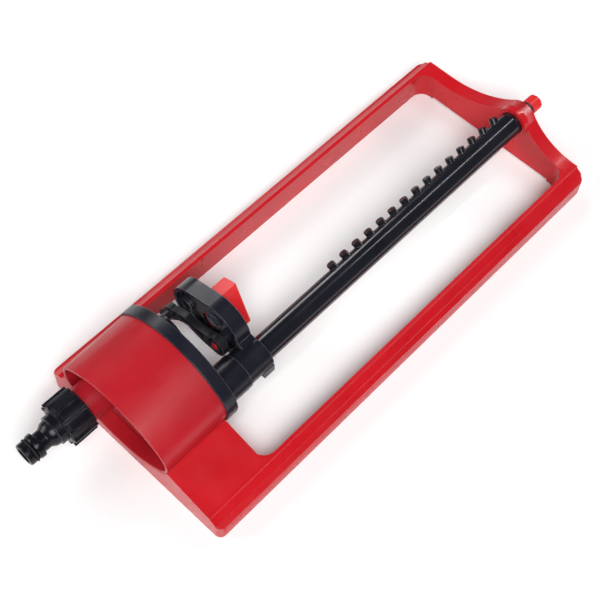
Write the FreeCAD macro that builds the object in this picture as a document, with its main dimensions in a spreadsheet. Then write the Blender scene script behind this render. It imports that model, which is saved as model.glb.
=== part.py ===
import FreeCAD, Part
import math
import os
import re

import Sketcher

# Oscillating lawn sprinkler. A rectangular base frame lies on the ground. Its low-X end carries the
# water motor in an oval housing, its high-X end is an arch that holds the far end of the spray tube.
# Lengths are millimetres. X runs from the hose inlet to the end cap, Z is up, and the origin is the
# centre of the bounding box on the ground. Stations along X are counted from the inlet end of the frame.

doc = FreeCAD.newDocument("sprinkler")
sheet = doc.addObject("Spreadsheet::Sheet", "sizes")

SIZES = {
    # where the frame's inlet end lies
    "inlet_end": -166.65,
    # base frame
    "frame_len": 370.0, "half_width": 78.3, "rail_top": 13.4, "rail_step": 16.4, "rail_ridge": 21.4,
    "ridge_width": 2.6,
    "rail_width": 11.3, "step_in": 3.3, "wall": 2.4, "plate_len": 50.0, "plate_rise": 31.0,
    "plate_edge": 33.0, "corner_round": 5.0, "window_round": 9.5, "arch_depth": 11.0,
    "boss_rad": 11.6, "boss_lip": 4.6, "arch_left": 50.0, "arch_right": -66.0, "arch_notch": 2.0,
    # spray tube line
    "tube_off": -16.0, "tube_high": 34.5, "tube_rad": 8.9, "tube_bore": 6.9, "tube_start": 62.0,
    "tube_end": 360.6, "journal_rad": 5.6, "journal_end": 375.4, "plug_bore": 3.2,
    # motor housing
    "oval_off": 13.5, "oval_high": 37.6, "oval_wide": 47.6, "oval_tall": 30.4, "oval_nose": 20.5,
    "oval_rise": 4.6,
    "shell_wall": 2.2, "shell_len": 50.4, "gap": 0.3, "recess": 10.0, "case_wall": 1.6,
    "bezel_over": 1.7, "bezel_len": 8.9, "cover_floor": 3.0,
    "spigot_rad": 13.2, "spigot_end": 78.6,
    # water inlet
    "inlet_off": 36.6, "inlet_high": 34.5, "thread_rad": 12.9, "inlet_bore": 8.0, "nut_rad": 15.3,
    "nut_len": 18.9, "nut_start": -25.7, "lug_height": 1.3, "lug_width": 2.6,
    # gear train
    "crank_off": 35.1, "crank_high": 38.0, "train_turn": 19.0, "axle_rad": 1.5,
    "tooth_size": 0.6, "small_teeth": 12.0, "large_teeth": 36.0, "gear_face": 4.0,
    "turbine_rad": 13.0,
    # lever, link and dial
    "lever_start": 78.9, "lever_end": 98.8, "hub_rad": 12.3, "cup_start": 87.4, "cup_rad": 20.6,
    "cup_drop": 5.2,
    "cup_near": 29.0, "cup_far": 47.6, "cup_up": 10.2, "cup_wall": 2.2, "floor_thick": 1.8, "cup_floor": 91.6,
    "pin_off": 3.0, "pin_high": 45.0, "pin_rad": 2.2, "link_start": 77.2, "link_end": 82.2,
    "link_eye": 8.1, "link_len": 42.46, "link_arch": 36.0,
    "crank_rad": 12.0, "crank_throw": 9.6, "crank_turn": -12.24, "crank_start": 60.4, "crank_end": 69.0,
    "crank_pin_rad": 3.2, "dial_off": 17.0, "dial_high": 45.5, "dial_shaft": 4.0,
    "knob_half": 17.4, "knob_wide": 5.8, "knob_end": 112.0, "knob_turn": 68.0,
    # nozzles
    "nozzle_count": 15.0, "nozzle_first": 177.4, "nozzle_pitch": 11.77, "nozzle_tilt": 50.0,
    "nozzle_rad": 3.1, "nozzle_tip": 12.2, "nozzle_jet": 0.75,
    # end cap
    "cap_start": 377.0, "cap_end": 386.6, "cap_rad": 5.9,
}

for row, (alias, size) in enumerate(SIZES.items(), start=1):
    sheet.set(f"A{row}", alias.replace("_", " "))
    sheet.set(f"B{row}", str(size))
    sheet.setAlias(f"B{row}", alias)
doc.recompute()

NAME = re.compile(r"\b(" + "|".join(sorted(SIZES, key=len, reverse=True)) + r")\b")


def bound(rule):
    """The rule as an expression on the sheet's cells."""
    return NAME.sub(r"sizes.\1", str(rule))


def size(rule):
    """The rule's value now."""
    return float(sheet.evalExpression(bound(rule)))


def bind(obj, prop, rule):
    obj.setExpression(prop, bound(rule))


# ---------------------------------------------------------------- bodies and sketches

def new_body(label, x="0", y="0", z="0"):
    """A named body whose origin stands at station x, and at y and z."""
    body = doc.addObject("PartDesign::Body", label)
    body.Label = label
    bind(body, "Placement.Base.x", f"inlet_end + {x}")
    bind(body, "Placement.Base.y", y)
    bind(body, "Placement.Base.z", z)
    return body


def origin_part(body, role):
    return next(o for o in body.Origin.OriginFeatures if o.Role == role)


def new_sketch(body, plane, offset="0"):
    sketch = body.newObject("Sketcher::SketchObject", "sketch")
    sketch.AttachmentSupport = (origin_part(body, plane), [""])
    sketch.MapMode = "FlatFace"
    bind(sketch, "AttachmentOffset.Base.z", offset)
    return sketch


def hold(sketch, kind, args, rule):
    """A dimension of the sketch, bound to the rule."""
    index = sketch.addConstraint(Sketcher.Constraint(kind, *args, size(rule)))
    bind(sketch, f"Constraints[{index}]", rule)


def arc_between(start, end, radius):
    """The arc from start to end, shorter than half a turn. A positive radius turns left."""
    chord = end - start
    middle = (start + end) / 2
    rise = math.sqrt(max(radius ** 2 - (chord.Length / 2) ** 2, 0.0))
    left = FreeCAD.Vector(-chord.y, chord.x, 0).normalize()
    centre = middle + left * math.copysign(rise, radius)
    angles = [math.atan2(p.y - centre.y, p.x - centre.x) for p in (start, end)]
    if radius < 0:
        angles.reverse()
    circle = Part.Circle(centre, FreeCAD.Vector(0, 0, 1), abs(radius))
    return Part.ArcOfCircle(circle, angles[0], angles[1])


def outline(body, plane, corners, offset="0"):
    """A closed outline. A corner is (x, y), or (x, y, radius) where an arc leaves it."""
    sketch = new_sketch(body, plane, offset)
    points = [FreeCAD.Vector(size(c[0]), size(c[1]), 0) for c in corners]
    ends = []
    for i, corner in enumerate(corners):
        start, end = points[i], points[(i + 1) % len(points)]
        if len(corner) == 2:
            sketch.addGeometry(Part.LineSegment(start, end), False)
            ends.append((1, 2))
        else:
            radius = size(corner[2])
            sketch.addGeometry(arc_between(start, end, radius), False)
            ends.append((1, 2) if radius > 0 else (2, 1))
    for i, corner in enumerate(corners):
        after = (i + 1) % len(corners)
        sketch.addConstraint(Sketcher.Constraint("Coincident", i, ends[i][1], after, ends[after][0]))
        hold(sketch, "DistanceX", (-1, 1, i, ends[i][0]), corner[0])
        hold(sketch, "DistanceY", (-1, 1, i, ends[i][0]), corner[1])
        if len(corner) == 3:
            hold(sketch, "Radius", (i,), f"abs({corner[2]})")
    return sketch


def discs(body, plane, circles, offset="0"):
    """Circles given as (x, y, radius)."""
    sketch = new_sketch(body, plane, offset)
    for i, (x, y, radius) in enumerate(circles):
        centre = FreeCAD.Vector(size(x), size(y), 0)
        sketch.addGeometry(Part.Circle(centre, FreeCAD.Vector(0, 0, 1), size(radius)), False)
        hold(sketch, "DistanceX", (-1, 1, i, 3), x)
        hold(sketch, "DistanceY", (-1, 1, i, 3), y)
        hold(sketch, "Radius", (i,), radius)
    return sketch


def oval(body, inset, offset="0", rise="0"):
    """The motor housing's oval, made of four tangent arcs, moved inwards by inset. Its top is raised
    by rise, and its bottom stays."""
    nose = f"(oval_nose - ({inset}))"
    tall = f"(oval_tall + {rise} / 2 - ({inset}))"
    flank = f"(((oval_wide - oval_nose)^2 + {tall}^2 - {nose}^2) / (2 * ({tall} - {nose})))"
    # the tangent points lie on the lines through the flank and nose centres
    across = f"((oval_wide - oval_nose) * {flank} / ({flank} - {nose}))"
    above = f"(({flank} - {tall}) * {nose} / ({flank} - {nose}))"
    right, left = f"oval_off - {across}", f"oval_off + {across}"
    low, high = f"oval_high + {rise} / 2 - {above}", f"oval_high + {rise} / 2 + {above}"
    corners = [(right, low, flank), (left, low, nose), (left, high, flank), (right, high, nose)]
    return outline(body, "YZ_Plane", corners, offset)


def pad(body, sketch, length, reverse=False):
    feature = body.newObject("PartDesign::Pad", "pad")
    feature.Profile = sketch
    bind(feature, "Length", length)
    feature.Reversed = reverse
    doc.recompute()
    return feature


def pocket(body, sketch, length, reverse=False):
    """A cut along the sketch's normal, or against it when reversed. It must remove something."""
    before = body.Shape.Volume
    feature = body.newObject("PartDesign::Pocket", "pocket")
    feature.Profile = sketch
    bind(feature, "Length", length)
    feature.Reversed = not reverse
    doc.recompute()
    if before - body.Shape.Volume < 1e-3:
        raise ValueError(f"a pocket of {body.Label} cuts nothing")
    return feature


def loft(body, sketches, cut=False):
    """Straight sides from the first sketch to the last."""
    kind = "PartDesign::SubtractiveLoft" if cut else "PartDesign::AdditiveLoft"
    feature = body.newObject(kind, "loft")
    feature.Profile = sketches[0]
    feature.Sections = sketches[1:]
    feature.Ruled = True
    doc.recompute()
    return feature


def turn(body, sketch, cut=False):
    kind = "PartDesign::Groove" if cut else "PartDesign::Revolution"
    feature = body.newObject(kind, "turned")
    feature.Profile = sketch
    feature.ReferenceAxis = (origin_part(body, "X_Axis"), [""])
    feature.Angle = 360
    doc.recompute()
    return feature


def turned(label, profile, x="0", y="0", z="0"):
    """A piece turned about the X axis from its (station, radius) profile."""
    body = new_body(label, x, y, z)
    turn(body, outline(body, "XY_Plane", profile))
    return body


def around(body, feature, count):
    pattern = body.newObject("PartDesign::PolarPattern", "around")
    pattern.Originals = [feature]
    pattern.Axis = (origin_part(body, "X_Axis"), [""])
    pattern.Angle = 360
    bind(pattern, "Occurrences", count)
    body.Tip = pattern
    doc.recompute()
    return pattern


def along(body, feature, count, length):
    pattern = body.newObject("PartDesign::LinearPattern", "along")
    pattern.Originals = [feature]
    pattern.Direction = (origin_part(body, "X_Axis"), [""])
    bind(pattern, "Length", length)
    bind(pattern, "Occurrences", count)
    body.Tip = pattern
    doc.recompute()
    return pattern


def dress(body, kind, edges, amount):
    """A fillet or chamfer on the edges that the test picks."""
    tip = body.Tip
    names = [f"Edge{i}" for i, edge in enumerate(tip.Shape.Edges, start=1) if edges(edge)]
    if not names:
        raise ValueError(f"no edges to dress on {body.Label}")
    feature = body.newObject(f"PartDesign::{kind}", kind.lower())
    feature.Base = (tip, names)
    bind(feature, "Size" if kind == "Chamfer" else "Radius", amount)
    doc.recompute()
    return feature


def near(edge, x=None, y=None, z=None, slack=0.2):
    """True where the edge's middle lies at the given body coordinates."""
    middle = edge.valueAt((edge.FirstParameter + edge.LastParameter) / 2)
    wanted = ((middle.x, x), (middle.y, y), (middle.z, z))
    return all(rule is None or abs(at - size(rule)) < slack for at, rule in wanted)


# ---------------------------------------------------------------- base frame and arch

def rail(body, side):
    """One long rail: a thin-walled section, open below, with a stepped top."""
    outer = [(f"{side} * half_width", "0"), (f"{side} * half_width", "rail_top"),
             (f"{side} * (half_width - step_in)", "rail_top + 1.2"),
             (f"{side} * (half_width - step_in - 0.3)", "rail_step"),
             (f"{side} * (half_width - rail_width + ridge_width + 0.4)", "rail_ridge - 1.6"),
             (f"{side} * (half_width - rail_width + ridge_width)", "rail_ridge"),
             (f"{side} * (half_width - rail_width)", "rail_ridge"),
             (f"{side} * (half_width - rail_width)", "0")]
    pad(body, outline(body, "YZ_Plane", outer), "frame_len")


def rail_hollow(body, side):
    inner = [(f"{side} * (half_width - wall)", "0"),
             (f"{side} * (half_width - wall)", "rail_top - wall"),
             (f"{side} * (half_width - rail_width + wall)", "rail_ridge - wall * 2"),
             (f"{side} * (half_width - rail_width + wall)", "0")]
    pocket(body, outline(body, "YZ_Plane", inner, "wall"), "frame_len - 2 * wall")


def arch_arc(foot):
    """Radius of the arc that leaves the ridge line at foot and touches the boss, and where it does."""
    drop = "(rail_ridge - tube_high)"
    radius = f"((({foot} - tube_off)^2 + {drop}^2 - boss_rad^2) / (2 * (boss_rad - {drop})))"
    share = f"(boss_rad / ({radius} + boss_rad))"
    across = f"tube_off + ({foot} - tube_off) * {share}"
    height = f"tube_high + (rail_ridge + {radius} - tube_high) * {share}"
    return radius, across, height


def window_corner(body, side, x, way):
    """Fills a corner of the window with a concave quarter round."""
    y = f"{side} * (half_width - rail_width + 0.5)"
    inner = f"{side} * (half_width - rail_width)"
    turn_sign = size(side) * size(way)
    corners = [(f"{x} - {way} * 0.5", y), (f"{x} + {way} * window_round", y),
               (f"{x} + {way} * window_round", inner, f"{turn_sign} * window_round"),
               (x, f"{inner} - {side} * window_round"),
               (f"{x} - {way} * 0.5", f"{inner} - {side} * window_round")]
    pad(body, outline(body, "XY_Plane", corners), "rail_ridge")


def outer_corner(body, side, x, way):
    """Rounds an outer corner of the frame in plan."""
    y = f"{side} * half_width"
    turn_sign = -size(side) * size(way)
    corners = [(f"{x} - {way}", f"{y} + {side}"), (f"{x} - {way}", f"{y} - {side} * corner_round"),
               (x, f"{y} - {side} * corner_round", f"{turn_sign} * corner_round"),
               (f"{x} + {way} * corner_round", y), (f"{x} + {way} * corner_round", f"{y} + {side}")]
    pocket(body, outline(body, "XY_Plane", corners), "40")


def make_base_frame():
    body = new_body("base_frame")
    inner = "(half_width - rail_width)"
    rail(body, "-1")
    rail(body, "1")
    plate = [(f"-{inner}", "0"), (f"-{inner}", "rail_ridge"), ("-plate_edge", "plate_rise"),
             ("oval_off + oval_wide - 1", "plate_rise"), (inner, "rail_ridge"), (inner, "0")]
    pad(body, outline(body, "YZ_Plane", plate), "plate_len")
    right, right_off, right_high = arch_arc("arch_right")
    left, left_off, left_high = arch_arc("arch_left")
    arch = [(f"-{inner}", "0"), (f"-{inner}", "rail_ridge"), ("arch_right", "rail_ridge", right),
            (right_off, right_high, "-boss_rad"), (left_off, left_high, left),
            ("arch_left", "rail_ridge"), (inner, "rail_ridge"), (inner, "0"),
            (f"{inner} - 12", "0"), (f"{inner} - 12", "arch_notch"), (f"-{inner} + 12", "arch_notch"),
            (f"-{inner} + 12", "0")]
    pad(body, outline(body, "YZ_Plane", arch, "frame_len - arch_depth"), "arch_depth")
    lip = discs(body, "YZ_Plane", [("tube_off", "tube_high", "boss_rad + 0.9")],
                "frame_len - arch_depth - 1.6")
    pad(body, lip, "boss_lip")

    for side in ("-1", "1"):
        for x, way in (("plate_len", "1"), ("(frame_len - arch_depth)", "-1")):
            window_corner(body, side, x, way)
        for x, way in (("0", "1"), ("frame_len", "-1")):
            outer_corner(body, side, x, way)
    rail_hollow(body, "-1")
    rail_hollow(body, "1")
    hollow = [(f"-{inner} + wall", "-1"), (f"-{inner} + wall", "rail_ridge - wall"),
              ("-plate_edge", "plate_rise - wall"), ("oval_off + oval_wide - 1", "plate_rise - wall"),
              (f"{inner} - wall / 2", "rail_ridge - wall"), (f"{inner} - wall / 2", "-1")]
    pocket(body, outline(body, "YZ_Plane", hollow, "wall"), "plate_len - 2 * wall")
    loft(body, [oval(body, "0"), oval(body, "0", "shell_len", "oval_rise")], cut=True)
    bore = discs(body, "YZ_Plane", [("tube_off", "tube_high", "journal_rad + 0.05")],
                 "frame_len - arch_depth - 2")
    pocket(body, bore, "arch_depth + 4")
    seat = discs(body, "YZ_Plane", [("tube_off", "tube_high", "tube_rad + 0.4")],
                 "frame_len - arch_depth - 2")
    pocket(body, seat, "4.5")
    return body


# ---------------------------------------------------------------- motor housing

def make_housing_shell():
    body = new_body("housing_shell")
    loft(body, [oval(body, "0"), oval(body, "0", "shell_len", "oval_rise")])
    loft(body, [oval(body, "shell_wall"), oval(body, "shell_wall", "shell_len", "oval_rise")], cut=True)
    dress(body, "Fillet", lambda e: near(e, x="0", slack=0.05), "0.7")
    return body


SCREW_PLACES = [("oval_off - 15", "oval_high + 22.4"), ("oval_off + 12", "oval_high - 23"),
                ("oval_off - 21", "oval_high - 19.4"), ("oval_off + 40.8", "oval_high - 2")]
CASE_INSET = "(shell_wall + 0.2)"
CASE_HOLLOW = "(shell_wall + 0.2 + case_wall)"
CASE_RISE = "(oval_rise * recess / shell_len)"
PLATE_INSET = "(shell_wall + 0.2 + case_wall + 0.3)"
AXLE_OFF = "(crank_off - tooth_size * (small_teeth + large_teeth) / 2 * cos(train_turn))"
AXLE_HIGH = "(crank_high - tooth_size * (small_teeth + large_teeth) / 2 * sin(train_turn))"


def make_motor_case():
    """The cup that holds the gears, with screw posts, and with the threaded inlet on its end wall."""
    body = new_body("motor_case")
    loft(body, [oval(body, CASE_INSET, "recess", CASE_RISE),
                oval(body, CASE_INSET, "shell_len - 0.8", "oval_rise")])
    loft(body, [oval(body, CASE_HOLLOW, "recess + 2", CASE_RISE),
                oval(body, CASE_HOLLOW, "shell_len - 0.8", "oval_rise")], cut=True)
    posts = [(y, z, "3.2") for y, z in SCREW_PLACES]
    pad(body, discs(body, "YZ_Plane", posts, "shell_len - 14"), "13.2")
    holes = [(y, z, "1.4") for y, z in SCREW_PLACES]
    pocket(body, discs(body, "YZ_Plane", holes, "shell_len - 12"), "12")
    inlet = discs(body, "YZ_Plane", [("inlet_off", "inlet_high", "thread_rad")], "-14")
    pad(body, inlet, "recess + 14")
    bore = discs(body, "YZ_Plane", [("inlet_off", "inlet_high", "inlet_bore")], "-15")
    pocket(body, bore, "recess + 17.5")
    return body


def make_motor_cover():
    """The black cover: a rim round the housing, a floor, the tube's spigot and two bearing bosses."""
    body = new_body("motor_cover")
    pad(body, oval(body, "-bezel_over", "shell_len", "oval_rise"), "bezel_len")
    pocket(body, oval(body, "1.2", "shell_len + cover_floor", "oval_rise"), "bezel_len")
    spigot = discs(body, "YZ_Plane", [("tube_off", "tube_high", "spigot_rad")], "shell_len")
    pad(body, spigot, "spigot_end - shell_len")
    bosses = discs(body, "YZ_Plane", [("crank_off", "crank_high", "4.5"),
                                      (AXLE_OFF, AXLE_HIGH, "3.5")], "44.3")
    pad(body, bosses, "shell_len - 44.3 + 1")
    pad(body, discs(body, "YZ_Plane", [("crank_off", "crank_high", "5")], "shell_len"), "8")
    bearing = discs(body, "YZ_Plane", [("crank_off", "crank_high", "2.05")], "44")
    pocket(body, bearing, "20")
    pin_hole = discs(body, "YZ_Plane", [(AXLE_OFF, AXLE_HIGH, "axle_rad")], "44")
    pocket(body, pin_hole, "7")
    holes = [(y, z, "1.4") for y, z in SCREW_PLACES]
    pocket(body, discs(body, "YZ_Plane", holes, "shell_len - 1"), "6")
    waterway = discs(body, "YZ_Plane", [("tube_off", "tube_high", "tube_bore")], "shell_len - 1")
    pocket(body, waterway, "spigot_end")
    socket = discs(body, "YZ_Plane", [("tube_off", "tube_high", "tube_rad + 0.05")], "tube_start - 0.4")
    pocket(body, socket, "spigot_end")
    dress(body, "Fillet", lambda e: (near(e, x="shell_len + bezel_len") or near(e, x="shell_len"))
          and e.Length > 15 and e.BoundBox.YLength > 14 and outside(e), "0.6")
    return body


def outside(edge):
    """True on the cover's outermost edges."""
    middle = edge.valueAt((edge.FirstParameter + edge.LastParameter) / 2)
    across = (middle.y - size("oval_off")) / size("oval_wide")
    above = (middle.z - size("oval_high")) / size("oval_tall")
    return math.hypot(across, above) > 1.01


def make_motor_gasket():
    body = new_body("cover_gasket")
    pad(body, oval(body, CASE_INSET, "shell_len - 0.8", "oval_rise"), "0.8")
    pocket(body, oval(body, CASE_HOLLOW, "shell_len - 0.8", "oval_rise"), "0.8")
    return body


def make_cover_screws():
    """Four identical pan head screws, each a separate solid."""
    screws = []
    for y, z in SCREW_PLACES:
        start = size("inlet_end + shell_len + cover_floor")
        place = FreeCAD.Vector(start, size(y), size(z))
        axis = FreeCAD.Vector(1, 0, 0)
        head = Part.makeCylinder(2.8, 1.8, place, axis)
        shank = Part.makeCylinder(1.4, 13, place - axis * 13, axis)
        slot = Part.makeBox(1, 4, 0.8, place + FreeCAD.Vector(0.9, -2, -0.4))
        screws.append(head.fuse(shank).cut(slot))
    return solid_group("cover_screws", screws)


def solid_group(label, solids):
    """A node whose solids stand apart."""
    feature = doc.addObject("Part::Feature", label)
    feature.Label = label
    feature.Shape = Part.makeCompound(solids)
    return feature


# ---------------------------------------------------------------- water inlet

def make_swivel_nut():
    body = turned("swivel_nut", [
        ("0", "10.8"), ("0", "nut_rad - 2.4"), ("2.6", "nut_rad"), ("nut_len - 1.2", "nut_rad"),
        ("nut_len", "nut_rad - 1.2"), ("nut_len", "thread_rad + 0.08"),
        ("2.6", "thread_rad + 0.08"), ("2.6", "10.8")],
        "nut_start", "inlet_off", "inlet_high")
    lug = [("-lug_width / 2", "nut_rad - 1"), ("lug_width / 2", "nut_rad - 1"),
           ("lug_width / 2 - 0.4", "nut_rad + lug_height"),
           ("-lug_width / 2 + 0.4", "nut_rad + lug_height")]
    around(body, pad(body, outline(body, "YZ_Plane", lug, "0.4"), "nut_len - 0.8"), "12")
    return body


def make_hose_adapter():
    """The male quick connector: rimmed nose, seal groove, locking collar, neck and flange."""
    return turned("hose_adapter", [
        ("0", "5.6"), ("0", "7.3"), ("0.8", "8.0"), ("4.0", "8.0"), ("4.4", "6.9"), ("6.4", "6.9"),
        ("6.8", "8.1"), ("8.4", "8.7"), ("11.2", "8.7"), ("11.8", "6.9"), ("16.6", "6.9"),
        ("19.6", "8.8"), ("22.6", "9.3"), ("22.8", "10.6"), ("30.3", "10.6"), ("30.3", "12.5"),
        ("35.2", "12.5"), ("35.2", "7.4"), ("30", "7.4"), ("24", "5.6")],
        "-53.3", "inlet_off", "inlet_high")


def ring(label, start, middle, thick, y, z):
    """A rubber ring of round section about a line along X."""
    body = new_body(label, start, y, z)
    section = discs(body, "XY_Plane", [("0", middle, thick)])
    turn(body, section)
    return body


def make_inlet_pieces():
    adapter_seal = ring("adapter_seal", "-47.9", "7.75", "0.82", "inlet_off", "inlet_high")
    washer = turned("inlet_washer", [("0", "8.4"), ("0", "12.4"), ("2.2", "12.4"), ("2.2", "8.4")],
                    "-16.4", "inlet_off", "inlet_high")
    strainer = new_body("inlet_filter", "-18.1", "inlet_off", "inlet_high")
    pad(strainer, discs(strainer, "YZ_Plane", [("0", "0", "12.2")]), "0.8")
    pad(strainer, discs(strainer, "YZ_Plane", [("0", "0", "8.2")], "0.8"), "0.9")
    cell = [("-0.9", "-0.9"), ("0.9", "-0.9"), ("0.9", "0.9"), ("-0.9", "0.9")]
    for y, z in ((0, 0), (3, 0), (-3, 0), (0, 3), (0, -3), (3, 3), (-3, 3), (3, -3), (-3, -3)):
        moved = [(f"{a} + {y}", f"{b} + {z}") for a, b in cell]
        pocket(strainer, outline(strainer, "YZ_Plane", moved), "2")
    return [adapter_seal, washer, strainer]


# ---------------------------------------------------------------- water motor

def gear_solid(teeth, start, face, centre, phase):
    """A spur gear with involute flanks of 25 degrees, made about a line along X."""
    module, teeth = size("tooth_size"), int(size(teeth))
    pitch = module * teeth / 2
    base = pitch * math.cos(math.radians(25))
    root, tip = pitch - 1.15 * module, pitch + 0.9 * module

    def half_angle(radius):
        roll = math.acos(min(base / max(radius, base), 1.0))
        at_pitch = math.tan(math.radians(25)) - math.radians(25)
        return (math.pi / 2 - 0.16) / teeth + at_pitch - (math.tan(roll) - roll)

    flank = [base + (tip - base) * i / 4 for i in range(5)]
    corners = []
    for tooth in range(teeth):
        middle = phase + 2 * math.pi * tooth / teeth
        rising = [(root, -half_angle(base))] + [(r, -half_angle(r)) for r in flank]
        falling = [(r, -a) for r, a in reversed(rising)]
        for radius, angle in rising + falling:
            corners.append(FreeCAD.Vector(start, radius * math.cos(middle + angle),
                                          radius * math.sin(middle + angle)))
    wire = Part.makePolygon(corners + corners[:1])
    solid = Part.Face(wire).extrude(FreeCAD.Vector(face, 0, 0))
    solid.translate(FreeCAD.Vector(size("inlet_end"), size(centre[0]), size(centre[1])))
    return solid


def round_solid(radius, start, length, centre):
    place = FreeCAD.Vector(size("inlet_end") + start, size(centre[0]), size(centre[1]))
    return Part.makeCylinder(radius, length, place, FreeCAD.Vector(1, 0, 0))


def part_node(label, shape):
    feature = doc.addObject("Part::Feature", label)
    feature.Label = label
    feature.Shape = shape.removeSplitter()
    return feature


AXLE = (AXLE_OFF, AXLE_HIGH)
CRANK = ("crank_off", "crank_high")
MESH = math.radians(size("train_turn"))


def make_turbine_wheel():
    """Hub, disc and twelve blades, with the first pinion on its end."""
    shape = round_solid(4.6, 20.4, 8.2, AXLE)
    shape = shape.fuse(round_solid(size("turbine_rad"), 24.0, 1.0, AXLE))
    middle = FreeCAD.Vector(size("inlet_end") + 20.4, size(AXLE_OFF), size(AXLE_HIGH))
    for blade in range(12):
        vane = Part.makeBox(8.2, 0.9, size("turbine_rad") - 3.6, middle + FreeCAD.Vector(0, -0.45, 3.6))
        vane.rotate(middle, FreeCAD.Vector(1, 0, 0), 30 * blade)
        shape = shape.fuse(vane)
    shape = shape.fuse(round_solid(3.2, 28.6, 2.4, AXLE))
    shape = shape.fuse(gear_solid("small_teeth", 30.9, 4.1, AXLE, MESH))
    return part_node("turbine_wheel", shape.cut(round_solid(size("axle_rad") + 0.05, 20, 16, AXLE)))


def compound_gear(label, start, centre, bore, phase_large, phase_small):
    """A large gear with a pinion on its high-X side."""
    shape = gear_solid("large_teeth", start, size("gear_face"), centre, phase_large)
    shape = shape.fuse(gear_solid("small_teeth", start + 3.9, 4.5, centre, phase_small))
    return part_node(label, shape.cut(round_solid(bore, start - 1, 12, centre)))


def make_gears():
    """On the mesh line a tooth of the pinion meets a space of the large gear."""
    half_space = math.pi / size("large_teeth")
    first = compound_gear("first_gear", 31.0, CRANK, 2.05, MESH + math.pi + half_space,
                          MESH + math.pi)
    second = compound_gear("second_gear", 35.4, AXLE, size("axle_rad") + 0.05, MESH + half_space, MESH)
    last = gear_solid("large_teeth", 39.9, size("gear_face"), CRANK, MESH + math.pi + half_space)
    last = last.cut(round_solid(2.0, 39, 6, CRANK))
    return [first, second, part_node("output_gear", last)]


def make_motor_inside():
    """The jet plate, the gear plate, the fixed axle and the crank shaft."""
    jet_plate = new_body("jet_plate")
    pad(jet_plate, oval(jet_plate, PLATE_INSET, "17", "oval_rise * 17 / shell_len"), "2")
    pin_hole = discs(jet_plate, "YZ_Plane", [(AXLE_OFF, AXLE_HIGH, "axle_rad")], "16")
    pocket(jet_plate, pin_hole, "4")
    jets = [(f"{AXLE_OFF} + 10.6 * cos({60 * i})", f"{AXLE_HIGH} + 10.6 * sin({60 * i})", "1.3")
            for i in range(6)]
    pocket(jet_plate, discs(jet_plate, "YZ_Plane", jets, "16"), "4")

    gear_plate = new_body("gear_plate")
    pad(gear_plate, oval(gear_plate, PLATE_INSET, "29", "oval_rise * 29 / shell_len"), "1.6")
    holes = discs(gear_plate, "YZ_Plane", [(AXLE_OFF, AXLE_HIGH, "3.6"),
                                           ("crank_off", "crank_high", "2.05"),
                                           ("tube_off + 2", "tube_high", "6.5")], "28")
    pocket(gear_plate, holes, "4")

    axle = turned("gear_axle", [("0", "0"), ("0", "axle_rad"), ("33.4", "axle_rad"), ("33.4", "0")],
                  "17", AXLE_OFF, AXLE_HIGH)
    shaft = turned("crank_shaft", [("0", "0"), ("0", "2"), ("34.6", "2"), ("34.6", "0")],
                   "29.2", "crank_off", "crank_high")
    return [jet_plate, gear_plate, axle, shaft]


def make_crank_disc():
    """The disc on the shaft's outer end, with the crank pin."""
    body = new_body("crank_disc", "0", "crank_off", "crank_high")
    pad(body, discs(body, "YZ_Plane", [("0", "0", "crank_rad")], "crank_start"), "crank_end - crank_start")
    ring_groove = discs(body, "YZ_Plane", [("0", "0", "crank_rad - 2"), ("0", "0", "5.5")],
                        "crank_end - 3")
    pocket(body, ring_groove, "4")
    pin = [("crank_throw * cos(crank_turn)", "crank_throw * sin(crank_turn)", "crank_pin_rad")]
    pad(body, discs(body, "YZ_Plane", pin, "crank_start"), "link_start - gap - crank_start")
    pocket(body, discs(body, "YZ_Plane", [("0", "0", "2")], "crank_start - 1"), "4.4")
    return body


# ---------------------------------------------------------------- spray tube and its lever

def make_spray_tube():
    """The tube with its seal grooves, jet holes and the hollow journal at its far end."""
    body = turned("spray_tube", [
        ("tube_start", "tube_bore"), ("tube_start", "tube_rad"), ("65.2", "tube_rad"),
        ("65.2", "7.6"), ("67", "7.6"), ("67", "tube_rad"), ("71.2", "tube_rad"), ("71.2", "7.6"),
        ("73", "7.6"), ("73", "tube_rad"), ("tube_end", "tube_rad"), ("tube_end", "journal_rad"),
        ("journal_end", "journal_rad"), ("journal_end", "plug_bore"), ("tube_end - 2", "plug_bore"),
        ("tube_end - 4", "tube_bore")], "0", "tube_off", "tube_high")
    jets = discs(body, "XY_Plane", [("nozzle_first", "0", "1.3")])
    about_x = FreeCAD.Rotation(FreeCAD.Vector(1, 0, 0), -size("nozzle_tilt"))
    jets.AttachmentOffset = FreeCAD.Placement(FreeCAD.Vector(), about_x)
    hole = pocket(body, jets, "tube_rad + 2")
    along(body, hole, "nozzle_count", "nozzle_pitch * (nozzle_count - 1)")
    return body


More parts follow.
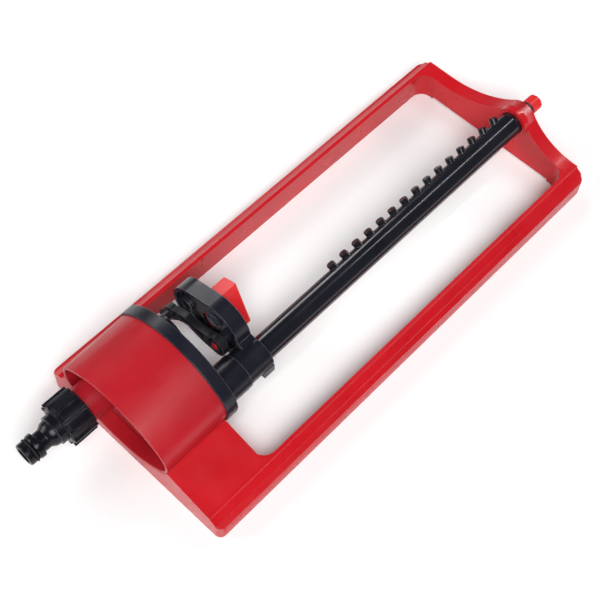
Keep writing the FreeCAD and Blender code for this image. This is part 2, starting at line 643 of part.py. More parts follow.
def make_nozzles():
    """Fifteen separate nozzles on one line of the tube, fanned outwards from the middle one."""
    count = int(size("nozzle_count"))
    spread = (count - 1) / 2
    tilt = math.radians(size("nozzle_tilt"))
    up = FreeCAD.Vector(0, math.sin(tilt), math.cos(tilt))
    ahead = FreeCAD.Vector(1, 0, 0)
    line = FreeCAD.Vector(size("inlet_end"), size("tube_off"), size("tube_high"))
    tube = Part.makeCylinder(size("tube_rad"), 400, line, ahead)
    nozzles = []
    for i in range(count):
        lean = math.radians(14) * (i - spread) / spread
        axis = up * math.cos(lean) + ahead * math.sin(lean)
        foot = line + ahead * size("nozzle_first + nozzle_pitch" + f" * {i}")
        tip = size("nozzle_tip") / math.cos(lean)
        collar = Part.makeCylinder(size("nozzle_rad"), tip - 4, foot + axis * 4, axis)
        nose = Part.makeCone(size("nozzle_rad"), size("nozzle_rad") - 0.4, 0.5, foot + axis * tip, axis)
        jet = Part.makeCylinder(size("nozzle_jet"), tip, foot + axis * 4, axis)
        nozzles.append(collar.fuse(nose).cut(jet).cut(tube))
    return solid_group("spray_nozzles", nozzles)


def make_tube_seals():
    line = FreeCAD.Vector(size("inlet_end"), size("tube_off"), size("tube_high"))
    ahead = FreeCAD.Vector(1, 0, 0)
    rings = [Part.makeTorus(8.24, 0.64, line + ahead * x, ahead) for x in (66.1, 72.1)]
    return solid_group("tube_seals", rings)


def cup_outline(radius):
    """Two equal round ends, the far one lower, joined by straight tangents."""
    run = "(cup_far - cup_near)"
    length = f"sqrt({run}^2 + cup_drop^2)"
    along_y, along_z = f"({run} / {length})", f"(-cup_drop / {length})"
    corners = []
    for end, height, way in (("cup_far", "(cup_up - cup_drop)", "1"), ("cup_near", "cup_up", "-1")):
        corners += [
            (f"{end} + {way} * {radius} * {along_z}", f"{height} - {way} * {radius} * {along_y}", radius),
            (f"{end} + {way} * {radius} * {along_y}", f"{height} + {way} * {radius} * {along_z}", radius),
            (f"{end} - {way} * {radius} * {along_z}", f"{height} + {way} * {radius} * {along_y}")]
    return corners


def make_lever():
    """The hub on the tube, the cup beside it and the boss of the link pin. The body's own y and z
    are counted from the tube's line."""
    body = new_body("lever_cup", "0", "tube_off", "tube_high")
    pad(body, discs(body, "YZ_Plane", [("0", "0", "hub_rad")], "lever_start"), "lever_end - lever_start")
    cup = outline(body, "YZ_Plane", cup_outline("cup_rad"), "cup_start")
    pad(body, cup, "lever_end - cup_start")
    web = [("2", "-11"), ("cup_near - 4", "cup_up - cup_rad + 1"), ("cup_near - 8", "cup_up + 4"),
           ("3", "11.4")]
    pad(body, outline(body, "YZ_Plane", web, "cup_start"), "lever_end - cup_start")
    well = outline(body, "YZ_Plane", cup_outline("(cup_rad - cup_wall)"), "cup_start - 1")
    pocket(body, well, "cup_floor - cup_start + 1")
    pin_y, pin_z = "pin_off - tube_off", "pin_high - tube_high"
    boss = discs(body, "YZ_Plane", [(pin_y, pin_z, "pin_rad + 2.2")], "link_end + 0.3")
    pad(body, boss, "cup_floor - link_end")
    bosses = [("dial_off - tube_off", "dial_high - tube_high", "dial_shaft + 2"), ("59.2", "-2", "6")]
    pad(body, discs(body, "YZ_Plane", bosses, "cup_floor - 2"), "3")
    holes = discs(body, "YZ_Plane", [("dial_off - tube_off", "dial_high - tube_high", "dial_shaft + 0.06"),
                                     ("59.2", "-2", "3.6")], "cup_floor - 3")
    pocket(body, holes, "12")
    back = outline(body, "YZ_Plane", cup_outline("(cup_rad - cup_wall)"), "cup_floor + floor_thick")
    pocket(body, back, "12")
    pin_hole = discs(body, "YZ_Plane", [(pin_y, pin_z, "pin_rad")], "link_end")
    pocket(body, pin_hole, "cup_floor + 1 - link_end")
    windows = [[("41.5", "-14"), ("46.1", "1.1"), ("39.4", "11"), ("32.6", "-0.4")],
               [("26", "-6"), ("29.4", "-6"), ("29.4", "-2"), ("26", "-2")]]
    for window in windows:
        pocket(body, outline(body, "YZ_Plane", window, "cup_floor - 1"), "floor_thick + 2")
    tube = discs(body, "YZ_Plane", [("0", "0", "tube_rad")], "lever_start - 1")
    pocket(body, tube, "lever_end - lever_start + 2")
    key = [("-hub_rad - 0.6", "-9"), ("-hub_rad + 3", "-9"), ("-hub_rad + 3", "-2"), ("-hub_rad - 0.6", "-2")]
    pad(body, outline(body, "YZ_Plane", key, "lever_end - 9"), "9")
    return body


def make_link_pin():
    return turned("link_pin", [("0", "0"), ("0", "1.9"), ("0.4", "2.3"), ("1.2", "3"), ("1.2", "pin_rad"),
                               ("cup_floor - link_start + 2.2", "pin_rad"),
                               ("cup_floor - link_start + 2.2", "0")],
                  "link_start - 1.3", "pin_off", "pin_high")


def make_link():
    """The connecting link: an eye on the lever's pin, a crescent bar and a broad end round the crank
    pin. The body's own y and z are counted from the eye."""
    body = new_body("crank_link", "0", "pin_off", "pin_high")
    thick = "link_end - link_start"
    pin_y, pin_z = "link_len * cos(crank_turn)", "link_len * sin(crank_turn)"
    pad(body, discs(body, "YZ_Plane", [("0", "0", "link_eye")], "link_start"), thick)
    arm = [("0", "-link_eye + 0.4", "40"), ("25", "-4.5", "-25"), ("37.8", "-13.4", "-30"),
           ("45", "-25", "5"), ("54", "-22", "link_arch"), ("26.5", "2.6", "-40"), ("5", "link_eye - 2")]
    pad(body, outline(body, "YZ_Plane", arm, "link_start"), thick)
    groove = [("10.4", "-5.6"), ("25", "-2.4"), ("33", "-5.6"), ("35.4", "-2.4"), ("26.5", "0.4"),
              ("10.4", "1.4")]
    pocket(body, outline(body, "YZ_Plane", groove, "link_start - 1"), "3.8")
    eye_groove = [("0", "0", "link_eye - 1.6"), ("0", "0", "pin_rad + 2.2")]
    pocket(body, discs(body, "YZ_Plane", eye_groove, "link_start - 1"), "2.4")
    pad(body, discs(body, "YZ_Plane", [(pin_y, pin_z, "crank_pin_rad + 2.2")], "link_start"), thick)
    bores = discs(body, "YZ_Plane", [("0", "0", "pin_rad + 0.06"),
                                     (pin_y, pin_z, "crank_pin_rad + 0.1")], "link_start - 1")
    pocket(body, bores, "8")
    return body


# ---------------------------------------------------------------- dial

def make_dial():
    knob = new_body("dial_knob", "0", "dial_off", "dial_high")
    pad(knob, discs(knob, "YZ_Plane", [("0", "0", "10")], "lever_end + 0.4"), "2.4")
    ahead = ("cos(knob_turn)", "sin(knob_turn)")

    def corner(length, width):
        return (f"{length} * {ahead[0]} - {width} * {ahead[1]}",
                f"{length} * {ahead[1]} + {width} * {ahead[0]}")
    wing = [corner("-knob_half", "-knob_wide"), corner("knob_half", "-knob_wide"),
            corner("knob_half", "knob_wide"), corner("-knob_half", "knob_wide")]
    pad(knob, outline(knob, "YZ_Plane", wing, "lever_end + 0.4"), "knob_end - lever_end - 0.4")
    pad(knob, discs(knob, "YZ_Plane", [("0", "0", "dial_shaft")], "cup_floor - 2.2"),
        "lever_end - cup_floor + 4")
    dress(knob, "Chamfer", lambda e: near(e, x="knob_end", slack=0.05), "0.9")
    pocket(knob, discs(knob, "YZ_Plane", [("0", "0", "1.2")], "cup_floor - 3"), "9")

    plate = new_body("setting_plate", "0", "tube_off", "tube_high")
    pad(plate, outline(plate, "YZ_Plane", cup_outline("(cup_rad - cup_wall - 0.2)"),
                       "cup_floor + floor_thick"), "2")
    clear = [("dial_off - tube_off", "dial_high - tube_high", "dial_shaft + 0.06")]
    pocket(plate, discs(plate, "YZ_Plane", clear, "cup_floor"), "8")

    screw = turned("dial_screw", [("0", "0"), ("0", "3.8"), ("0.6", "5"), ("1.4", "5"), ("1.4", "1.2"),
                                  ("7", "1.2"), ("7", "0")], "cup_floor - 3.6", "dial_off", "dial_high")
    return [knob, plate, screw]


# ---------------------------------------------------------------- far end

def make_far_end():
    ring_piece = turned("retaining_ring", [("0", "journal_rad"), ("0", "6.6"), ("3.2", "6.6"),
                                           ("3.2", "journal_rad")],
                        "frame_len + 2.2", "tube_off", "tube_high")
    seal = ring("cap_seal", "journal_end + 0.8", "4.2", "0.72", "tube_off", "tube_high")
    cap = turned("end_cap", [
        ("0", "0.6"), ("0", "plug_bore - 0.5"), ("0.6", "plug_bore - 0.08"),
        ("cap_start - 370", "plug_bore - 0.08"), ("cap_start - 370", "cap_rad - 0.7"),
        ("cap_end - 370.8", "cap_rad - 0.7"), ("cap_end - 370", "cap_rad - 1.5"), ("cap_end - 370", "0"),
        ("6", "0"), ("6", "0.6")], "370", "tube_off", "tube_high")
    rib = [("-0.7", "cap_rad - 1.4"), ("0.7", "cap_rad - 1.4"), ("0.5", "cap_rad"), ("-0.5", "cap_rad")]
    ridge = pad(cap, outline(cap, "YZ_Plane", rib, "cap_start - 370"), "cap_end - cap_start - 1")
    around(cap, ridge, "14")
    needle = turned("cleaning_needle", [("0", "0"), ("1.4", "0.55"), ("16", "0.55"), ("16", "0")],
                    "360", "tube_off", "tube_high")
    return [ring_piece, seal, cap, needle]


# ---------------------------------------------------------------- build, check and write

nodes = [make_base_frame(), make_housing_shell(), make_motor_case(), make_motor_cover(),
         make_motor_gasket(), make_cover_screws(), make_swivel_nut(), make_hose_adapter()]
nodes += make_inlet_pieces()
nodes += make_motor_inside()
nodes += [make_turbine_wheel()]
nodes += make_gears()
nodes += [make_crank_disc(), make_spray_tube(), make_nozzles(), make_tube_seals(), make_lever(),
          make_link_pin(), make_link()]
nodes += make_dial()
nodes += make_far_end()
doc.recompute()

for obj in doc.Objects:
    if "Invalid" in obj.State or "Error" in obj.State:
        raise RuntimeError(f"{obj.Label} failed: {obj.State}")

os.makedirs("parts", exist_ok=True)
for node in nodes:
    shape = node.Shape
    if shape.isNull() or not shape.isValid() or not shape.Solids:
        raise RuntimeError(f"{node.Label} has no valid shape")
    shape.exportStep(f"parts/{node.Label}.step")
    box = shape.BoundBox
    print(f"{node.Label:16} {len(shape.Solids):2} solids {shape.Volume:9.0f} mm3  "
          f"x {box.XMin:7.1f} {box.XMax:7.1f}  y {box.YMin:6.1f} {box.YMax:6.1f}  "
          f"z {box.ZMin:5.1f} {box.ZMax:5.1f}")
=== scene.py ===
import bmesh
import bpy
import math
from mathutils import Matrix, Vector


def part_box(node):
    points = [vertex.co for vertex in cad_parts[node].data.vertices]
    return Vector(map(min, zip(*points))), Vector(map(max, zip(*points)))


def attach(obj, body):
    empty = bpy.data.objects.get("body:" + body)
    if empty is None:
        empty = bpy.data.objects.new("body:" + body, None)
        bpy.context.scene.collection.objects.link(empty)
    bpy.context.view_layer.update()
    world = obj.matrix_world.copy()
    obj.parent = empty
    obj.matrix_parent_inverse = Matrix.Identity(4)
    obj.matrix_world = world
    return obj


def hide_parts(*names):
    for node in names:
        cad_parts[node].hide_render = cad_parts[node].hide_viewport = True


# An oscillating lawn sprinkler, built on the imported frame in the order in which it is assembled.
# Lengths are metres. The hose comes in at the low-X end, and the tube's capped end is at high X.

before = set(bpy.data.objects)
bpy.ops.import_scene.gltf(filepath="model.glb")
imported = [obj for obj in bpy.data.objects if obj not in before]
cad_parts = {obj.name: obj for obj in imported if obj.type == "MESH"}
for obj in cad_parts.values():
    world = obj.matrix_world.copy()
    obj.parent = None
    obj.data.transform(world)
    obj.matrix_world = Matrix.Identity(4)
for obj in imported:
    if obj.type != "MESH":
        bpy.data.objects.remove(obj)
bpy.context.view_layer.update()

# ---------------------------------------------------------------- base frame
# The frame is one injection moulding in red polypropylene: two hollow rails, a sloping plate under
# the motor and an arch at the far end. Its edges are rounded by the mould, and it is glossy.


def moulded(node, name, edge, facets=2, bend=30.0):
    """A smooth piece made from the CAD node of that name, with its edges rounded by `edge`."""
    shape = bmesh.new()
    shape.from_mesh(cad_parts[node].data)
    bmesh.ops.remove_doubles(shape, verts=shape.verts, dist=1e-6)
    bmesh.ops.dissolve_limit(shape, angle_limit=math.radians(1), verts=shape.verts,
                             edges=shape.edges, delimit={"NORMAL"})
    sharp = [e for e in shape.edges if len(e.link_faces) == 2
             and e.calc_face_angle() > math.radians(bend)]
    if edge > 0:
        bmesh.ops.bevel(shape, geom=sharp, offset=edge, offset_type="OFFSET", affect="EDGES",
                        segments=facets, profile=0.5, clamp_overlap=True, material=-1)
    for face in shape.faces:
        face.smooth = True
    mesh = bpy.data.meshes.new(name)
    shape.to_mesh(mesh)
    shape.free()
    mesh.set_sharp_from_angle(angle=math.radians(bend))
    piece = bpy.data.objects.new(name, mesh)
    bpy.context.collection.objects.link(piece)
    weigh = piece.modifiers.new("even_normals", "WEIGHTED_NORMAL")
    weigh.keep_sharp = True
    return piece


def stand_for(piece, node, body, material):
    """The piece takes the CAD node's place, body and slot."""
    piece.data.materials.clear()
    piece.data.materials.append(material)
    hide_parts(node)
    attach(piece, body)


def moulding_group():
    """Colour, roughness and normal of a moulded plastic: soft mottling, flow marks, a fine grain
    and a paler line along the edges that is a painted highlight on the rounded edges, in patches
    that also stand for rubbed wear."""
    group = bpy.data.node_groups.new("moulded_surface", "ShaderNodeTree")
    for label, kind, value in (("Colour", "NodeSocketColor", (0.5, 0.02, 0.03, 1)),
                               ("Shade", "NodeSocketColor", (0.4, 0.01, 0.02, 1)),
                               ("Edge Sheen And Wear Colour", "NodeSocketColor", (0.8, 0.2, 0.2, 1)),
                               ("Edge Amount", "NodeSocketFloat", 0.5),
                               ("Edge Width", "NodeSocketFloat", 0.0008),
                               ("Roughness", "NodeSocketFloat", 0.3),
                               ("Grain Size", "NodeSocketFloat", 900.0),
                               ("Grain Depth", "NodeSocketFloat", 0.1)):
        socket = group.interface.new_socket(label, in_out="INPUT", socket_type=kind)
        socket.default_value = value
    for label, kind in (("Colour", "NodeSocketColor"), ("Roughness", "NodeSocketFloat"),
                        ("Normal", "NodeSocketVector")):
        group.interface.new_socket(label, in_out="OUTPUT", socket_type=kind)
    nodes, links = group.nodes, group.links
    source = nodes.new("NodeGroupInput")
    result = nodes.new("NodeGroupOutput")
    place = nodes.new("ShaderNodeTexCoord")

    clouds = nodes.new("ShaderNodeTexNoise")
    clouds.inputs["Scale"].default_value = 22
    clouds.inputs["Detail"].default_value = 4
    links.new(place.outputs["Object"], clouds.inputs["Vector"])
    spread = nodes.new("ShaderNodeMapRange")
    spread.inputs["From Min"].default_value = 0.35
    spread.inputs["From Max"].default_value = 0.68
    links.new(clouds.outputs["Fac"], spread.inputs["Value"])
    body_colour = nodes.new("ShaderNodeMix")
    body_colour.data_type = "RGBA"
    links.new(spread.outputs["Result"], body_colour.inputs["Factor"])
    links.new(source.outputs["Colour"], body_colour.inputs["A"])
    links.new(source.outputs["Shade"], body_colour.inputs["B"])

    # Edge mask from the bevelled normal. Mixed with the edge colour below, it paints a highlight
    # along every rounded edge, broken into patches that also stand for rubbed wear.
    round_normal = nodes.new("ShaderNodeBevel")
    round_normal.samples = 4
    links.new(source.outputs["Edge Width"], round_normal.inputs["Radius"])
    flat_normal = nodes.new("ShaderNodeNewGeometry")
    turn = nodes.new("ShaderNodeVectorMath")
    turn.operation = "DOT_PRODUCT"
    links.new(round_normal.outputs["Normal"], turn.inputs[0])
    links.new(flat_normal.outputs["Normal"], turn.inputs[1])
    edge = nodes.new("ShaderNodeMapRange")
    edge.inputs["From Min"].default_value = 0.995
    edge.inputs["From Max"].default_value = 0.86
    links.new(turn.outputs["Value"], edge.inputs["Value"])
    edge_patch_noise = nodes.new("ShaderNodeTexNoise")
    edge_patch_noise.inputs["Scale"].default_value = 160
    edge_patch_noise.inputs["Detail"].default_value = 5
    links.new(place.outputs["Object"], edge_patch_noise.inputs["Vector"])
    broken = nodes.new("ShaderNodeMapRange")
    broken.inputs["From Min"].default_value = 0.38
    broken.inputs["From Max"].default_value = 0.62
    broken.inputs["To Min"].default_value = 0.35
    links.new(edge_patch_noise.outputs["Fac"], broken.inputs["Value"])
    sheen_and_wear_mask = nodes.new("ShaderNodeMath")
    sheen_and_wear_mask.operation = "MULTIPLY"
    links.new(edge.outputs["Result"], sheen_and_wear_mask.inputs[0])
    links.new(broken.outputs["Result"], sheen_and_wear_mask.inputs[1])
    share = nodes.new("ShaderNodeMath")
    share.operation = "MULTIPLY"
    share.use_clamp = True
    links.new(sheen_and_wear_mask.outputs["Value"], share.inputs[0])
    links.new(source.outputs["Edge Amount"], share.inputs[1])
    colour = nodes.new("ShaderNodeMix")
    colour.data_type = "RGBA"
    links.new(share.outputs["Value"], colour.inputs["Factor"])
    links.new(body_colour.outputs["Result"], colour.inputs["A"])
    links.new(source.outputs["Edge Sheen And Wear Colour"], colour.inputs["B"])
    links.new(colour.outputs["Result"], result.inputs["Colour"])

    streaks = nodes.new("ShaderNodeTexNoise")
    streaks.inputs["Scale"].default_value = 60
    streaks.inputs["Detail"].default_value = 6
    links.new(place.outputs["Object"], streaks.inputs["Vector"])
    dull = nodes.new("ShaderNodeMapRange")
    dull.inputs["From Min"].default_value = 0.3
    dull.inputs["From Max"].default_value = 0.7
    dull.inputs["To Min"].default_value = -0.05
    dull.inputs["To Max"].default_value = 0.07
    links.new(streaks.outputs["Fac"], dull.inputs["Value"])
    rough = nodes.new("ShaderNodeMath")
    rough.use_clamp = True
    links.new(source.outputs["Roughness"], rough.inputs[0])
    links.new(dull.outputs["Result"], rough.inputs[1])
    links.new(rough.outputs["Value"], result.inputs["Roughness"])

    grain = nodes.new("ShaderNodeTexNoise")
    grain.inputs["Detail"].default_value = 3
    links.new(source.outputs["Grain Size"], grain.inputs["Scale"])
    links.new(place.outputs["Object"], grain.inputs["Vector"])
    bump = nodes.new("ShaderNodeBump")
    bump.inputs["Distance"].default_value = 0.0003
    links.new(source.outputs["Grain Depth"], bump.inputs["Strength"])
    links.new(grain.outputs["Fac"], bump.inputs["Height"])
    links.new(bump.outputs["Normal"], result.inputs["Normal"])
    return group


moulded_surface = moulding_group()


# The edge colour is a painted highlight along the rounded edges, partly rubbed wear.
def plastic(name, colour, shade, edge_sheen_and_wear_colour, roughness, edge_amount=0.45, edge_width=0.0007,
            grain_size=900.0, grain_depth=0.08, coat=0.0, metallic=0.0, specular=0.3):
    material = bpy.data.materials.new(name)
    material.use_nodes = True
    nodes, links = material.node_tree.nodes, material.node_tree.links
    shader = nodes["Principled BSDF"]
    shader.inputs["Coat Weight"].default_value = coat
    shader.inputs["Coat Roughness"].default_value = 0.12
    shader.inputs["Metallic"].default_value = metallic
    shader.inputs["Specular IOR Level"].default_value = specular
    surface = nodes.new("ShaderNodeGroup")
    surface.node_tree = moulded_surface
    for label, value in (("Colour", (*colour, 1)), ("Shade", (*shade, 1)),
                         ("Edge Sheen And Wear Colour", (*edge_sheen_and_wear_colour, 1)), ("Edge Amount", edge_amount),
                         ("Edge Width", edge_width), ("Roughness", roughness),
                         ("Grain Size", grain_size), ("Grain Depth", grain_depth)):
        surface.inputs[label].default_value = value
    links.new(surface.outputs["Colour"], shader.inputs["Base Color"])
    links.new(surface.outputs["Roughness"], shader.inputs["Roughness"])
    links.new(surface.outputs["Normal"], shader.inputs["Normal"])
    return material


frame_red = plastic("frame_red", (0.56, 0.008, 0.015), (0.50, 0.007, 0.014), (0.80, 0.13, 0.13),
                    roughness=0.30, coat=0.1, edge_amount=0.3, edge_width=0.0005)
stand_for(moulded("base_frame", "frame_moulding", 0), "base_frame", "frame", frame_red)

# ---------------------------------------------------------------- motor housing
# The shell is an oval sleeve in the same red, slightly wider towards the cover. The sealed case
# inside it shows its end wall in the recess round the hose inlet.

shell_red = plastic("shell_red", (0.45, 0.012, 0.020), (0.40, 0.010, 0.018), (0.72, 0.10, 0.11),
                    roughness=0.36, coat=0.1, edge_amount=0.3, edge_width=0.0005)
stand_for(moulded("housing_shell", "housing_sleeve", 0.0004), "housing_shell", "frame",
          shell_red)
case_red = plastic("case_red", (0.42, 0.010, 0.020), (0.33, 0.006, 0.015), (0.6, 0.1, 0.1),
                   roughness=0.45, grain_depth=0.14)
stand_for(moulded("motor_case", "motor_case_moulding", 0.0004), "motor_case", "frame",
          case_red)

# The end wall is stiffened by fine level ribs, which leave a round clear space for the inlet.
# They stand less than a millimetre off the wall and belong to the case's moulding.

case_low, case_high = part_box("motor_case")
shell_low, shell_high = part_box("housing_shell")
nut_low, nut_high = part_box("swivel_nut")
inlet_y, inlet_z = (nut_low.y + nut_high.y) / 2, (nut_low.z + nut_high.z) / 2
recess_depth = 0.010
wall_x = shell_low.x + recess_depth
wall_mid_y = (shell_low.y + shell_high.y) / 2
wall_mid_z = (case_low.z + case_high.z) / 2
rib_height, rib_depth, rib_gap = 0.0007, 0.0007, 0.0021
rib_margin, rib_end_clear, shortest_rib, rib_edge = 0.006, 0.0065, 0.003, 0.00015
inlet_clear = 0.0148
oval_power = 2.2


def half_chord(z, clear):
    """Half the end wall's width at that height, kept clear of the shell."""
    tall = (case_high.z - case_low.z) / 2 - clear
    wide = (shell_high.y - shell_low.y) / 2 - clear
    part = abs(z - wall_mid_z) / tall
    return wide * max(0.0, 1 - part ** oval_power) ** (1 / oval_power) if part < 1 else 0


ribs = bmesh.new()
rib_z = case_low.z + rib_margin
while rib_z < case_high.z - rib_margin:
    reach = half_chord(rib_z, rib_end_clear)
    inside = abs(rib_z - inlet_z) < inlet_clear
    cut = math.sqrt(inlet_clear ** 2 - (rib_z - inlet_z) ** 2) if inside else 0
    runs = [(wall_mid_y - reach, wall_mid_y + reach)]
    if cut:
        runs = [(wall_mid_y - reach, inlet_y - cut), (inlet_y + cut, wall_mid_y + reach)]
    for start, end in runs:
        if end - start > shortest_rib:
            bmesh.ops.create_cube(ribs, size=1, matrix=Matrix.Translation(
                (wall_x - rib_depth / 2, (start + end) / 2, rib_z))
                @ Matrix.Diagonal((rib_depth, end - start, rib_height, 1)))
    rib_z += rib_gap
bmesh.ops.bevel(ribs, geom=ribs.edges[:], offset=rib_edge, affect="EDGES", segments=1,
                profile=0.5, material=-1)
rib_mesh = bpy.data.meshes.new("case_ribs")
ribs.to_mesh(rib_mesh)
ribs.free()
case_ribs = bpy.data.objects.new("case_ribs", rib_mesh)
bpy.context.collection.objects.link(case_ribs)
case_ribs.data.materials.append(case_red)
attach(case_ribs, "frame")

# ---------------------------------------------------------------- motor cover
# The black cover caps the housing with a rim, and its long spigot carries the spray tube. Black
# plastic with a smooth finish and a thin bright line along its rounded edges, a painted highlight
# where the light would catch them.

cover_black = plastic("cover_black", (0.0105, 0.0105, 0.0200), (0.0080, 0.0080, 0.0140),
                      (0.34, 0.36, 0.46), roughness=0.32, edge_amount=0.55, edge_width=0.0006,
                      coat=0.08)
stand_for(moulded("motor_cover", "motor_cover_moulding", 0.0005), "motor_cover", "frame",
          cover_black)

# ---------------------------------------------------------------- hose inlet
# The swivel nut turns on the inlet's thread and is ribbed for grip. The nose in front of it is the
# male half of a click hose connector, with a ring seal in its groove.

nut_black = plastic("nut_black", (0.007, 0.007, 0.011), (0.005, 0.005, 0.008), (0.20, 0.20, 0.27),
                    roughness=0.30, specular=0.2, edge_amount=0.5, edge_width=0.0006,
                    grain_depth=0.15)
stand_for(moulded("swivel_nut", "hose_nut", 0.0004), "swivel_nut", "inlet_nut",
          nut_black)
adapter_black = plastic("adapter_black", (0.007, 0.007, 0.011), (0.005, 0.005, 0.008),
                        (0.24, 0.25, 0.32), roughness=0.26, specular=0.2, edge_amount=0.6,
                        edge_width=0.0005, coat=0.08)
stand_for(moulded("hose_adapter", "hose_nose", 0.0004), "hose_adapter", "frame",
          adapter_black)

# ---------------------------------------------------------------- seals and water parts
# Seals are matt rubber rings. The filter is a white disc of fine mesh. The gears, the turbine and
# their plates are pale acetal, and the shafts and screws are stainless steel.

seal_rubber = plastic("seal_rubber", (0.011, 0.011, 0.012), (0.008, 0.008, 0.009),
                      (0.05, 0.05, 0.05), roughness=0.62, edge_amount=0.2, grain_depth=0.2)
filter_white = plastic("filter_white", (0.70, 0.70, 0.66), (0.62, 0.62, 0.58), (0.8, 0.8, 0.78),
                       roughness=0.55, grain_size=2400, grain_depth=0.5)
gear_acetal = plastic("gear_acetal", (0.74, 0.73, 0.68), (0.68, 0.66, 0.60), (0.86, 0.86, 0.82),
                      roughness=0.40, grain_depth=0.12)
turned_steel = plastic("turned_steel", (0.60, 0.60, 0.62), (0.50, 0.50, 0.53), (0.80, 0.80, 0.82),
                       roughness=0.26, grain_size=1600, grain_depth=0.18, metallic=1.0)


def wear(node, material):
    """A CAD node that keeps its own shape takes this finish."""
    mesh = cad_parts[node].data
    mesh.materials.clear()
    mesh.materials.append(material)


for node in ("cover_gasket", "adapter_seal", "inlet_washer", "tube_seals", "cap_seal"):
    wear(node, seal_rubber)
for node in ("jet_plate", "gear_plate", "turbine_wheel", "first_gear", "second_gear",
             "output_gear"):
    wear(node, gear_acetal)
for node in ("cover_screws", "gear_axle", "crank_shaft", "cleaning_needle"):
    wear(node, turned_steel)
wear("inlet_filter", filter_white)

# ---------------------------------------------------------------- crank and link
# The crank disc has raised rings on its face. The curved link joins its pin to the lever.

lever_black = plastic("lever_black", (0.0115, 0.0118, 0.0200), (0.0085, 0.0088, 0.0145),
                      (0.36, 0.38, 0.48), roughness=0.30, edge_amount=0.6, edge_width=0.0006,
                      coat=0.08)
stand_for(moulded("crank_disc", "crank_disc_moulding", 0.0004), "crank_disc", "crank",
          lever_black)
link_black = plastic("link_black", (0.010, 0.010, 0.014), (0.008, 0.008, 0.011), (0.22, 0.23, 0.30),
                     roughness=0.38, edge_amount=0.5, edge_width=0.0005)
stand_for(moulded("crank_link", "link_moulding", 0.0004), "crank_link", "link",
          link_black)
pin_red = plastic("pin_red", (0.42, 0.010, 0.018), (0.36, 0.008, 0.016), (0.6, 0.15, 0.15),
                  roughness=0.33)
stand_for(moulded("link_pin", "link_pin_moulding", 0.0003), "link_pin", "spray_arm",
          pin_red)

# ---------------------------------------------------------------- lever and dial
# The lever's hub clamps the tube, and the deep cup beside it has openings in its floor that show
# the red plate behind. The red knob behind the cup sets how far the tube swings.

stand_for(moulded("lever_cup", "lever_moulding", 0.0005), "lever_cup", "spray_arm",
          lever_black)
wear("dial_screw", lever_black)
knob_red = plastic("knob_red", (0.72, 0.014, 0.018), (0.62, 0.010, 0.016), (0.9, 0.25, 0.22),
                   roughness=0.30, coat=0.1)
stand_for(moulded("dial_knob", "setting_knob", 0.0006), "dial_knob", "dial", knob_red)
stand_for(moulded("setting_plate", "setting_plate_moulding", 0.0003), "setting_plate", "spray_arm",
          pin_red)

# ---------------------------------------------------------------- spray tube
# The tube is a glossy black extrusion with the nozzles let into its upper side. Its far end turns
# in the arch, held by a ring and closed by a red cap that carries the cleaning needle.

tube_black = plastic("tube_black", (0.0120, 0.0120, 0.0180), (0.0095, 0.0095, 0.0140),
                     (0.30, 0.31, 0.38), roughness=0.20, edge_amount=0.4, edge_width=0.0005,
                     grain_depth=0.03, coat=0.3)
stand_for(moulded("spray_tube", "tube_extrusion", 0.0004), "spray_tube", "spray_arm",
          tube_black)
# The nozzle tips get a pale painted highlight round their rounded rims.
nozzle_black = plastic("nozzle_black", (0.012, 0.012, 0.016), (0.009, 0.009, 0.012),
                       (0.40, 0.41, 0.48), roughness=0.2, edge_amount=0.6, edge_width=0.0003)
stand_for(moulded("spray_nozzles", "nozzle_tips", 0.0003), "spray_nozzles", "spray_arm",
          nozzle_black)
stand_for(moulded("retaining_ring", "end_ring", 0.0003), "retaining_ring", "spray_arm",
          lever_black)
stand_for(moulded("end_cap", "cap_moulding", 0.0004), "end_cap", "cap", knob_red)

# ---------------------------------------------------------------- floor, light and camera
# A plain pale floor and a pale surround, lit by three large soft lights, a smaller one behind and a
# narrow strip along the tube.

floor_shape = bmesh.new()
bmesh.ops.create_grid(floor_shape, x_segments=1, y_segments=1, size=6)
floor_mesh = bpy.data.meshes.new("floor")
floor_shape.to_mesh(floor_mesh)
floor_shape.free()
floor = bpy.data.objects.new("floor", floor_mesh)
bpy.context.collection.objects.link(floor)
floor.location.z = -0.0004
floor_paint = bpy.data.materials.new("floor_paint")
floor_paint.use_nodes = True
floor_shader = floor_paint.node_tree.nodes["Principled BSDF"]
floor_shader.inputs["Base Color"].default_value = (0.96, 0.96, 0.96, 1)
floor_shader.inputs["Roughness"].default_value = 0.7
floor_shader.inputs["Specular IOR Level"].default_value = 0.1
floor.data.materials.append(floor_paint)

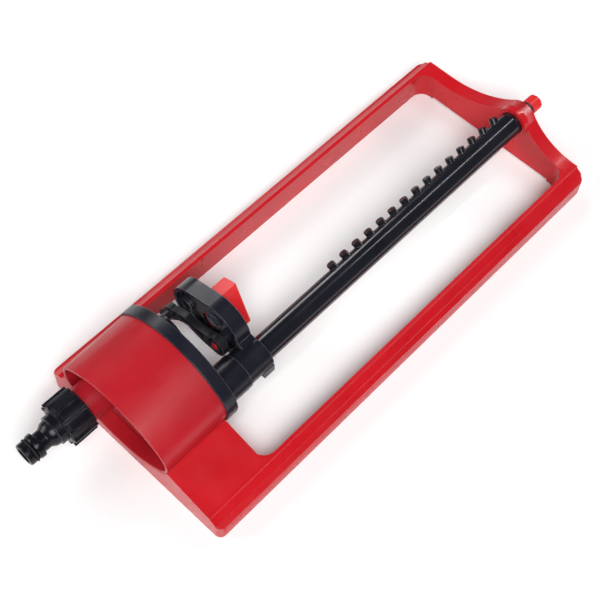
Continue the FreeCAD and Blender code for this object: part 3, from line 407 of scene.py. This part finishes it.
world = bpy.data.worlds.new("studio")
bpy.context.scene.world = world
world.use_nodes = True
sky_nodes, sky_links = world.node_tree.nodes, world.node_tree.links
direction = sky_nodes.new("ShaderNodeTexCoord")
height = sky_nodes.new("ShaderNodeSeparateXYZ")
sky_links.new(direction.outputs["Generated"], height.inputs["Vector"])
fade = sky_nodes.new("ShaderNodeMapRange")
fade.interpolation_type = "SMOOTHSTEP"
fade.inputs["From Min"].default_value = 0.15
fade.inputs["From Max"].default_value = 0.75
fade.inputs["To Min"].default_value = 1.15
fade.inputs["To Max"].default_value = 0.22
sky_links.new(height.outputs["Z"], fade.inputs["Value"])
sky_links.new(fade.outputs["Result"], sky_nodes["Background"].inputs["Strength"])


def soft_light(name, place, target, width, depth, power):
    light = bpy.data.lights.new(name, "AREA")
    light.shape = "RECTANGLE"
    light.size, light.size_y, light.energy = width, depth, power
    lamp = bpy.data.objects.new(name, light)
    lamp.location = place
    lamp.rotation_euler = (Vector(target) - Vector(place)).to_track_quat("-Z", "Y").to_euler()
    bpy.context.collection.objects.link(lamp)


soft_light("key", (-0.7, -0.9, 1.5), (0, 0, 0), 1.1, 1.1, 34)
soft_light("left", (-1.0, 1.1, 0.8), (0, 0, 0.03), 0.8, 0.8, 12)
soft_light("end", (1.5, -0.2, 0.35), (0, 0, 0.03), 0.5, 0.5, 13)
soft_light("strip", (1.0, -0.07, 1.38), (0.1, 0, 0.03), 0.07, 0.65, 3)
soft_light("back", (0.5, 1.15, 0.75), (-0.12, 0, 0.05), 0.45, 0.45, 4)

camera_data = bpy.data.cameras.new("camera")
camera_data.sensor_width = 36
camera_data.lens = 72.83
camera_data.clip_start = 0.05
camera = bpy.data.objects.new("camera", camera_data)
bpy.context.collection.objects.link(camera)
right = Vector((0.68856, -0.7248, 0.02337)).normalized()
back = Vector((-0.37627, -0.32954, 0.86592)).normalized()
up = back.cross(right).normalized()
right = up.cross(back)
turned = Matrix((right, up, back)).transposed().to_4x4()
frame_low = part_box("base_frame")[0]
camera.matrix_world = Matrix.Translation((frame_low.x - 0.15655, -0.27139, 0.72584)) @ turned
bpy.context.scene.camera = camera
bpy.context.scene.view_settings.view_transform = "Standard"
bpy.context.scene.view_settings.look = "None"
